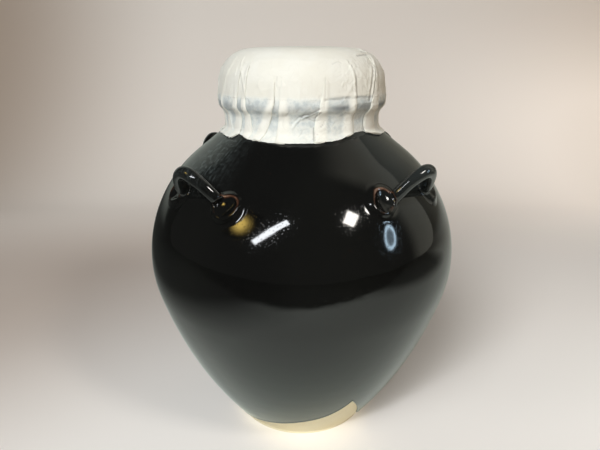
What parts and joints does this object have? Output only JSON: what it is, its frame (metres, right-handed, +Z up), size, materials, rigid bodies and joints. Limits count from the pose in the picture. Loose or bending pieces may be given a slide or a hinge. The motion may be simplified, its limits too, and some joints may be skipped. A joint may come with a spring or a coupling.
{
  "type": "tea jar",
  "caption": "Lidded stoneware tea leaf jar in glossy black glaze, with bowed shoulder lugs, a domed wooden lid and white paper pasted over lid and neck.",
  "frame": {"origin": "middle of the foot, on the surface the jar stands on", "axes": "+Z up along the jar's axis; -Y is the front of the picture, midway between two lugs; +X to the right"},
  "size_m": [0.2596, 0.2596, 0.3252],
  "materials": {
    "buff_clay": "matt, fine-grained fired stoneware clay",
    "black_glaze": "high gloss black, breaking to brown on thin edges",
    "pale_wood": "bare, finely turned pale wood",
    "white_paper": "thin long-fibred paper, pasted and wrinkled"
  },
  "bodies": {
    "jar": {"jar_body": "buff_clay", "black_glaze": "black_glaze", "lug_front_left": "black_glaze", "lug_front_right": "black_glaze", "lug_back_right": "black_glaze", "lug_back_left": "black_glaze", "paper_skirt": "white_paper"},
    "lid": {"wooden_lid": "pale_wood", "paper_cap": "white_paper"}
  },
  "joints": [
    {"name": "lid_lift", "type": "slide", "parent": "jar", "child": "lid", "axis": [0, 0, 1], "range_m": [0, 0.12]}
  ]
}
